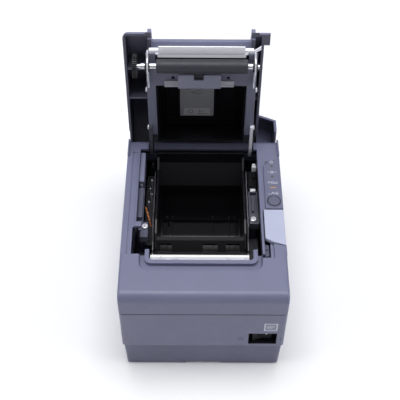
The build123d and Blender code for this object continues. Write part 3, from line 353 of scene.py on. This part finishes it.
def rubber(name, colour, rough=0.6):
    """Ground rubber: fine turning marks, lint and a soft sheen."""
    m = Mat(name)
    edge, soft_n = m.edge(0.0004)
    turn = m.noise(1.0, 4, 0.6, m.stretch((2400, 60, 60)))
    lint = m.ramp(m.noise(900, 6, 0.7), 0.64, 0.8, 0.0, 0.3)
    c = m.mix(m.ramp(turn, 0.3, 0.7), tuple(v * 0.8 for v in colour), tuple(v * 1.25 for v in colour))
    c = m.mix(lint, c, (0.16, 0.16, 0.18))
    c = m.mix(m.math("MULTIPLY", edge, 0.3), c, tuple(v * 2 for v in colour))
    m.link(c, m.b.inputs["Base Color"])
    m.link(m.ramp(m.noise(140, 4), 0.3, 0.7, rough - 0.08, rough + 0.1), m.b.inputs["Roughness"])
    m.bump(turn, 0.35, 0.00003, soft_n)
    m.set(Sheen_Weight=0.1, Sheen_Roughness=0.5)
    return m


roller = rubber("roller_rubber", (0.022, 0.022, 0.032), 0.5)
foot = rubber("foot_rubber", (0.02, 0.02, 0.022), 0.75)


def lens(name, colour, glow):
    m = Mat(name)
    edge, soft_n = m.edge(0.0002)
    c = m.mix(m.ramp(m.noise(700, 3), 0.3, 0.7), tuple(v * 0.8 for v in colour), colour)
    m.link(c, m.b.inputs["Base Color"])
    m.link(m.ramp(m.noise(400, 3), 0.3, 0.7, 0.15, 0.3), m.b.inputs["Roughness"])
    m.bump(m.noise(1500, 2), 0.1, 0.00001, soft_n)
    if glow:
        m.link(c, m.b.inputs["Emission Color"])
        m.set(Emission_Strength=glow)
    return m


lamp_off = lens("lamp_clear", (0.10, 0.09, 0.07), 0)
amber = lens("lamp_amber", (0.42, 0.26, 0.13), 0)


def board_material():
    m = Mat("circuit_board")
    edge, soft_n = m.edge(0.0003)
    trace = m.add("ShaderNodeTexBrick")
    trace.inputs["Scale"].default_value = 260
    trace.inputs["Color1"].default_value = (0.004, 0.022, 0.012, 1)
    trace.inputs["Color2"].default_value = (0.006, 0.03, 0.016, 1)
    trace.inputs["Mortar"].default_value = (0.012, 0.055, 0.03, 1)
    trace.inputs["Mortar Size"].default_value = 0.02
    m.link(m.co, trace.inputs["Vector"])
    dots = m.ramp(m.voronoi(420), 0.10, 0.14, 1.0, 0.0)
    c = m.mix(dots, trace.outputs["Color"], (0.08, 0.06, 0.03))
    m.link(c, m.b.inputs["Base Color"])
    m.link(m.ramp(m.noise(300, 3), 0.3, 0.7, 0.3, 0.45), m.b.inputs["Roughness"])
    m.bump(trace.outputs["Fac"], 0.3, 0.00004, soft_n)
    return m


def lead_material():
    """Two twisted strands, orange and brown, read along the lead."""
    m = Mat("lead_insulation")
    edge, soft_n = m.edge(0.0002)
    wv = m.add("ShaderNodeTexWave", wave_type="BANDS", bands_direction="DIAGONAL")
    wv.inputs["Scale"].default_value = 190
    wv.inputs["Distortion"].default_value = 0.4
    m.link(m.co, wv.inputs["Vector"])
    c = m.mix(m.ramp(wv.outputs["Fac"], 0.42, 0.58), (0.62, 0.20, 0.05), (0.16, 0.06, 0.03))
    m.link(c, m.b.inputs["Base Color"])
    m.link(m.ramp(m.noise(500, 3), 0.3, 0.7, 0.35, 0.5), m.b.inputs["Roughness"])
    m.bump(wv.outputs["Fac"], 0.6, 0.0002, soft_n)
    return m


def ink(name, colour, rough=0.5):
    """Printed ink, a little uneven."""
    m = Mat(name)
    c = m.mix(m.ramp(m.noise(1400, 3), 0.3, 0.7), tuple(v * 0.85 for v in colour), colour)
    m.link(c, m.b.inputs["Base Color"])
    m.link(m.ramp(m.noise(900, 3), 0.3, 0.7, rough - 0.08, rough + 0.08), m.b.inputs["Roughness"])
    m.bump(m.noise(2500, 2), 0.2, 0.00002)
    return m


white_ink = ink("white_ink", (0.62, 0.63, 0.70))
dark_ink = ink("dark_ink", (0.02, 0.02, 0.03))
label_grey = ink("label_film", (0.36, 0.36, 0.37), 0.35)
label_light = ink("label_light", (0.56, 0.56, 0.55), 0.35)
badge_blue = ink("badge_film", (0.22, 0.24, 0.34), 0.35)


def paint(material, *names):
    for n in names:
        o = N[n]
        o.data.materials.clear()
        o.data.materials.append(material.m)


paint(case, "main_case", "front_cover")
paint(base, "lower_case")
paint(shell_material(), "cover_shell")
paint(panel, "control_panel")
paint(pad, "release_paddle")
paint(button, "feed_button")
paint(rocker_black, "switch_body", "switch_rocker", "cover_sensor")
paint(dark, "drawer_socket", "power_inlet", "paper_sensor", "platen_bushes", "cutter_knob")
paint(frame_grey, "cover_frame")
paint(flap_grey, "guide_flap")
paint(left_block, "left_latch_block")
paint(block_grey, "right_latch_block")
paint(well, "roll_well")
paint(liner, "cover_liner")
paint(guide, "paper_guide")
paint(white_gear, "feed_idler", "feed_pinion", "cutter_gear")
paint(black_gear, "platen_gear")
paint(bright, "fixed_blade", "blade_holder")
paint(steel, "moving_blade", "platen_shaft", "paddle_pin", "idler_stud")
paint(dark_steel, "hinge_rod")
paint(arms, "hinge_arms")
paint(strip_metal, "guide_strip")
paint(plate, "platen_plates", "sensor_spring", "head_springs", "serial_socket", "usb_socket")
paint(frame_steel, "side_frames", "interface_panel", "socket_plate")
paint(screw, "block_screws", "cover_rivets", "panel_thumb_screws")
paint(bar_material(), "cutter_frame")
paint(alu, "thermal_head", "head_heat_sink")
paint(motor, "feed_motor", "cutter_motor")
paint(brass, "cutter_worm")
paint(roller, "platen_roller")
paint(foot, "rubber_feet")
paint(lamp_off, "status_lamps")
paint(amber, "paper_lamp")
paint(board_material(), "main_board", "interface_board", "panel_board")
paint(lead_material(), "sensor_lead")


# ------------------------------------------------------------------ mesh helpers
def obj(name, verts, faces, material, body, bevel=0.0, smooth=False):
    me = bpy.data.meshes.new(name)
    me.from_pydata([tuple(v) for v in verts], [], faces)
    bm = bmesh.new()
    bm.from_mesh(me)
    bmesh.ops.recalc_face_normals(bm, faces=bm.faces)
    bm.to_mesh(me)
    bm.free()
    o = bpy.data.objects.new(name, me)
    bpy.context.scene.collection.objects.link(o)
    me.materials.append(material.m)
    if smooth:
        for p in me.polygons:
            p.use_smooth = True
    if bevel:
        b = o.modifiers.new("bevel", "BEVEL")
        b.width, b.segments, b.limit_method = bevel, 2, "ANGLE"
    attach(o, body)
    return o


def prism(name, outline, origin, u, v, depth, material, body, bevel=0.0):
    """A flat outline in millimetres on the plane origin + u, v, raised along u x v by depth (mm)."""
    u, v = Vector(u), Vector(v)
    w = u.cross(v)
    lo = [origin + (u * a + v * b) / 1000 for a, b in outline]
    hi = [p + w * depth / 1000 for p in lo]
    n = len(outline)
    faces = [list(range(n))[::-1], list(range(n, 2 * n))] + [[i, (i + 1) % n, n + (i + 1) % n, n + i] for i in range(n)]
    return obj(name, lo + hi, faces, material, body, bevel)


def ring_outline(r0, r1, a0, a1, n=28):
    pts = [(r1 * math.cos(a0 + (a1 - a0) * i / n), r1 * math.sin(a0 + (a1 - a0) * i / n)) for i in range(n + 1)]
    return pts + [(r0 * math.cos(a0 + (a1 - a0) * i / n), r0 * math.sin(a0 + (a1 - a0) * i / n)) for i in range(n, -1, -1)]


def rect(x0, x1, y0, y1):
    return [(x0, y0), (x1, y0), (x1, y1), (x0, y1)]


def rounded(x0, x1, y0, y1, r, n=5):
    pts = []
    for cx, cy, a in ((x1 - r, y0 + r, -90), (x1 - r, y1 - r, 0), (x0 + r, y1 - r, 90), (x0 + r, y0 + r, 180)):
        for i in range(n + 1):
            t = math.radians(a + 90 * i / n)
            pts.append((cx + r * math.cos(t), cy + r * math.sin(t)))
    return pts


def strokes(name, shapes, origin, u, v, depth, material, body):
    """Several flat outlines joined into one printed piece."""
    parts = [prism(name if i == 0 else f"{name}_{i}", s, origin, u, v, depth, material, body) for i, s in enumerate(shapes)]
    with bpy.context.temp_override(active_object=parts[0], selected_editable_objects=parts, selected_objects=parts):
        if len(parts) > 1:
            bpy.ops.object.join()
    return parts[0]


def line(x0, y0, x1, y1, w=0.35):
    d = math.hypot(x1 - x0, y1 - y0) or 1
    nx, ny = -(y1 - y0) / d * w / 2, (x1 - x0) / d * w / 2
    return [(x0 - nx, y0 - ny), (x1 - nx, y1 - ny), (x1 + nx, y1 + ny), (x0 + nx, y0 + ny)]


X, Y, Z = (1, 0, 0), (0, 1, 0), (0, 0, 1)
TOPZ = 112.5

# power, fault, paper and feed marks on the panel
strokes("panel_mark_power", [ring_outline(1.15, 1.55, math.radians(125), math.radians(415)), rect(-0.22, 0.22, 0.2, 2.0)], P(64.3, 153.3, TOPZ), X, Y, 0.06, white_ink, "chassis")
strokes("panel_mark_fault", [line(-1.5, -1.3, 1.5, 1.3, 0.5), line(-1.5, 1.3, 1.5, -1.3, 0.5), rect(-4.3, -2.4, -0.2, 0.2), rect(2.4, 4.3, -0.2, 0.2)], P(64.3, 140.6, TOPZ), X, Y, 0.06, white_ink, "chassis")
strokes("panel_mark_paper", [ring_outline(1.0, 1.4, 0, math.radians(359.9)), rect(1.3, 4.6, -1.4, -1.0), rect(4.2, 4.6, -1.4, 1.0), rect(1.6, 3.6, 0.0, 0.35), line(-4.2, -1.0, -3.0, 1.0, 0.4), line(-3.0, 1.0, -1.9, -1.0, 0.4)], P(64.0, 127.6, TOPZ), X, Y, 0.06, white_ink, "chassis")
strokes("panel_mark_feed", [line(-1.7, -1.1, 0, 1.2, 0.5), line(0, 1.2, 1.7, -1.1, 0.5), rect(2.4, 4.8, -1.1, -0.7), rect(2.4, 4.8, -0.1, 0.3), rect(2.4, 4.0, 0.9, 1.3), rect(-4.8, -2.6, -1.1, -0.7)], P(64.0, 114.4, TOPZ), X, Y, 0.06, white_ink, "chassis")

# front face: power marks beside the switch and a blank plate above it
strokes("front_mark_power", [ring_outline(1.9, 2.4, math.radians(120), math.radians(420)), rect(-0.25, 0.25, 0.4, 2.9)], P(33.6, 0.0, 46.6), X, Z, 0.05, dark_ink, "chassis")
strokes("front_mark_on", [rect(-0.3, 0.3, -1.4, 1.4)], P(69.2, 0.0, 46.0), X, Z, 0.05, dark_ink, "chassis")
badge = prism("front_plate_rim", rounded(-5.9, 5.9, -5.9, 5.9, 0.5), P(59.2, 0.0, 65.8), X, Z, 0.10, white_ink, "chassis", 0.00004)
prism("front_plate", rounded(-4.8, 4.8, -4.8, 4.8, 0.3), P(59.2, -0.10, 65.8), X, Z, 0.06, badge_blue, "chassis", 0.00003)
prism("switch_dot", ring_outline(0.0, 0.9, 0, math.radians(359.9), 20), P(56.6, 4.35, 48.2), X, Z, 0.12, white_ink, "switch_rocker")

# blank loading picture on the liner, seen in the cover's hollow
CY = (0, math.cos(OPEN), -math.sin(OPEN))      # closed +Y on the open cover
CZ = (0, math.sin(OPEN), math.cos(OPEN))       # closed +Z on the open cover
UPW = tuple(-k for k in CY)
prism("loading_picture", rounded(-16.2, 16.2, -33.0, 26.0, 1.0), O(-6.4, 120.0, 126.35), X, UPW, 0.25, label_grey, "roll_cover", 0.00004)
pic = [line(-14, 22, -5.5, 9.0, 0.4), line(14, 22, 5.5, 9.0, 0.4), line(-5.5, 9.0, 0, 4.6, 0.5), line(0, 4.6, 5.5, 9.0, 0.5), line(-8.6, 13.8, 8.6, 13.8, 0.4), line(-14.6, 17.5, -9.2, 0, 0.35), line(-9.2, 0, -3.2, 1.6, 0.35), line(-3.2, 1.6, 5.2, 10.0, 0.35), line(14.6, 15.5, 8.0, 3.8, 0.35), line(8.0, 3.8, 0.8, -1.6, 0.35), line(0.8, -1.6, -5.6, -3.8, 0.35)]
pic += [ring_outline(5.2, 5.6, math.radians(200), math.radians(340), 18)]
strokes("loading_picture_lines", pic, O(-6.4, 120.0, 126.1), X, UPW, 0.1, dark_ink, "roll_cover")
prism("loading_picture_box", rounded(-12.6, 12.6, -8.6, 0.0, 0.4), O(-6.4, 143.2, 126.1), X, UPW, 0.08, label_light, "roll_cover", 0.00003)
strokes("loading_picture_signs", [[(a - 6.0, b - 4.1) for a, b in ring_outline(1.9, 2.4, 0, math.radians(359.9))], line(2.2, -1.8, 2.6, -5.2, 0.4), line(2.6, -5.2, 5.0, -3.6, 0.4), line(5.0, -3.6, 7.4, -3.0, 0.4), rect(0.6, 10.4, -7.0, -6.6)], O(-6.4, 143.2, 126.02), X, UPW, 0.06, dark_ink, "roll_cover")

def block(name, x0, x1, y0, y1, z0, z1, material, body, bevel=0.0003):
    return prism(name, rect(x0, x1, y0, y1), P(0, 0, z0), X, Y, z1 - z0, material, body, bevel)


def block_xy(name, outline, z0, z1, material, body, bevel=0.0003):
    return prism(name, outline, P(0, 0, z0), X, Y, z1 - z0, material, body, bevel)


light_block = plastic("channel_plastic", (0.20, 0.205, 0.31), 0.42, 2200, 0.00003, 0.35, 0.25, 0.5, 0.05, 0.0005)
block("channel_block", -60.3, -55.8, 134.6, 171.6, 96, 105.4, light_block, "chassis")
block("channel_block_tab", -59.6, -56.6, 130.6, 134.4, 94, 103.0, block_grey, "chassis")
block("channel_rail", -60.3, -55.9, 94.5, 130.0, 92, 101.5, left_block, "chassis")
block("channel_rail_foot", -59.4, -55.9, 83.0, 94.0, 88, 97.0, left_block, "chassis")
bracket = [(47.2, 160.6), (51.2, 160.6), (51.2, 163.0), (50.2, 165.6), (47.6, 165.6), (47.2, 164.0)]
block_xy("sensor_bracket", bracket, 90, 97.0, bright, "chassis")
block("sensor_bracket_band", 46.9, 51.3, 162.4, 163.6, 90.2, 97.3, strip_metal, "chassis")
block("sensor_latch", 47.6, 49.4, 131.0, 132.6, 92, 96.6, bright, "chassis")
for i, (bx, by) in enumerate(((-53.4, 88.2), (46.2, 97.0))):
    block_xy(f"screw_seat_{i}", [(bx + a, by + b) for a, b in ring_outline(2.85, 3.25, 0, math.radians(359.9))], 95.0, 95.7, dark, "chassis", 0.0001)
block_xy("button_ring", [(64.3 + a, 105.1 + b) for a, b in ring_outline(5.7, 6.5, 0, math.radians(359.9), 40)], 112.5, 112.62, dark, "chassis", 0.00003)
notch = rounded(51.6, 57.6, 46.4, 59.4, 1.4)
block_xy("notch_lever", notch, 100, 106.6, button, "chassis", 0.0004)
block_xy("notch_fill", [(58.4, 41.9), (61.45, 41.9), (61.45, 55.5), (58.4, 57.0)], 100, 111.4, case, "front_cover", 0.0004)
block("notch_slot", 53.0, 56.4, 52.6, 54.0, 106.6, 107.0, dark, "chassis", 0.0001)
# dark floor plates beside the well and at the left front, and four steel pins in the left gap
block("left_gap_floor", -55.2, -47.2, 82.0, 168.0, 74.0, 76.0, dark, "chassis")
block("right_gap_floor", 42.6, 51.2, 46.5, 90.0, 74.0, 76.0, dark, "chassis")
block("left_front_floor", -62.8, -47.2, 47.2, 74.0, 72.0, 74.0, dark, "chassis")
for i, (gx, gy, gz) in enumerate(((-49.4, 150.0, 90), (-50.8, 141.0, 88), (-49.2, 131.0, 91), (-51.6, 126.0, 86))):
    block_xy(f"gap_pin_{i}", [(gx + a, gy + b) for a, b in ring_outline(0.0, 0.8, 0, math.radians(359.9), 12)], 76, gz, screw, "chassis", 0.0001)
land = [O(x, y, z) for x in (-41.0, 36.4) for y, z in ((57.7, 98.75), (61.2, 98.3), (61.2, 98.8), (57.7, 99.25))]
obj("blade_land", land, [[0, 1, 2, 3], [7, 6, 5, 4], [0, 4, 5, 1], [1, 5, 6, 2], [2, 6, 7, 3], [3, 7, 4, 0]], bright, "roll_cover", 0.00012)
for i, (bx, by) in enumerate(((-3.2, 0.6), (-3.2, -0.8), (-3.2, -2.2))):
    prism(f"plate_line_{i}", rect(-3.4, 3.2 - i * 0.9, by, by + 0.5), P(59.2, -0.17, 66.6), X, Z, 0.04, white_ink, "chassis")

# ------------------------------------------------------------------ camera, floor, light
cam = bpy.data.cameras.new("camera")
cam.sensor_width = 36.0
cam.lens = 75.232
cam.clip_start, cam.clip_end = 0.05, 30
co = bpy.data.objects.new("camera", cam)
bpy.context.scene.collection.objects.link(co)
yaw, pitch, roll = math.radians(0.299), math.radians(49.596), math.radians(0.503)
fwd = Vector((math.sin(yaw) * math.cos(pitch), math.cos(yaw) * math.cos(pitch), -math.sin(pitch)))
right = Vector((math.cos(yaw), -math.sin(yaw), 0))
up = right.cross(fwd)
r = math.cos(roll) * right + math.sin(roll) * up
u = -math.sin(roll) * right + math.cos(roll) * up
m4 = Matrix((r, u, -fwd)).transposed().to_4x4()
m4.translation = P(-5.74, -388.051, 692.663)
co.matrix_world = m4
bpy.context.scene.camera = co

fm = bpy.data.meshes.new("floor")
bm = bmesh.new()
S = 4.0
for x, y in ((-S, -S), (S, -S), (S, S), (-S, S)):
    bm.verts.new((x, y, -0.0004))
bm.faces.new(bm.verts)
bm.to_mesh(fm)
bm.free()
floor = bpy.data.objects.new("floor", fm)
bpy.context.scene.collection.objects.link(floor)
fl = Mat("floor_paper")
c = fl.mix(fl.ramp(fl.noise(3, 4), 0.3, 0.7), (0.90, 0.90, 0.90), (0.93, 0.93, 0.93))
fl.link(c, fl.b.inputs["Base Color"])
fl.set(Roughness=0.9)
fm.materials.append(fl.m)


def area(name, loc, target, size, power, colour=(1, 1, 1), size_y=None):
    d = bpy.data.lights.new(name, "AREA")
    d.shape = "RECTANGLE"
    d.size, d.size_y = size, size_y or size
    d.energy = power
    d.color = colour
    o = bpy.data.objects.new(name, d)
    bpy.context.scene.collection.objects.link(o)
    o.location = loc
    o.rotation_euler = (Vector(target) - Vector(loc)).to_track_quat("-Z", "Y").to_euler()
    return o


area("overhead", (0.0, 0.05, 1.7), (0, 0, 0.05), 1.1, 17, (1.0, 1.0, 1.0), 0.8)
area("left", (-1.5, -0.2, 1.1), (0, 0, 0.1), 0.9, 9, (0.95, 0.97, 1.0))
area("right", (1.5, -0.2, 1.1), (0, 0, 0.1), 0.9, 9, (0.95, 0.97, 1.0))
area("back", (0.0, 1.6, 1.2), (0, 0, 0.1), 1.2, 8, (0.85, 0.88, 1.0))

world = bpy.data.worlds.new("studio")
bpy.context.scene.world = world
world.use_nodes = True
wt = world.node_tree
wt.nodes.clear()
wo = wt.nodes.new("ShaderNodeOutputWorld")
bg = wt.nodes.new("ShaderNodeBackground")
tc = wt.nodes.new("ShaderNodeTexCoord")
sp = wt.nodes.new("ShaderNodeSeparateXYZ")
cr = wt.nodes.new("ShaderNodeValToRGB")
wt.links.new(tc.outputs["Generated"], sp.inputs[0])
wt.links.new(sp.outputs[2], cr.inputs[0])
cr.color_ramp.elements[0].position = 0.0
cr.color_ramp.elements[0].color = (0.35, 0.35, 0.45, 1)
cr.color_ramp.elements[1].position = 0.7
cr.color_ramp.elements[1].color = (0.95, 0.96, 1.0, 1)
wt.links.new(cr.outputs[0], bg.inputs[0])
bg.inputs[1].default_value = 0.40
wt.links.new(bg.outputs[0], wo.inputs[0])

vs = bpy.context.scene.view_settings
vs.view_transform = "Standard"
vs.look = "None"
vs.exposure = 0.0
vs.gamma = 1.0
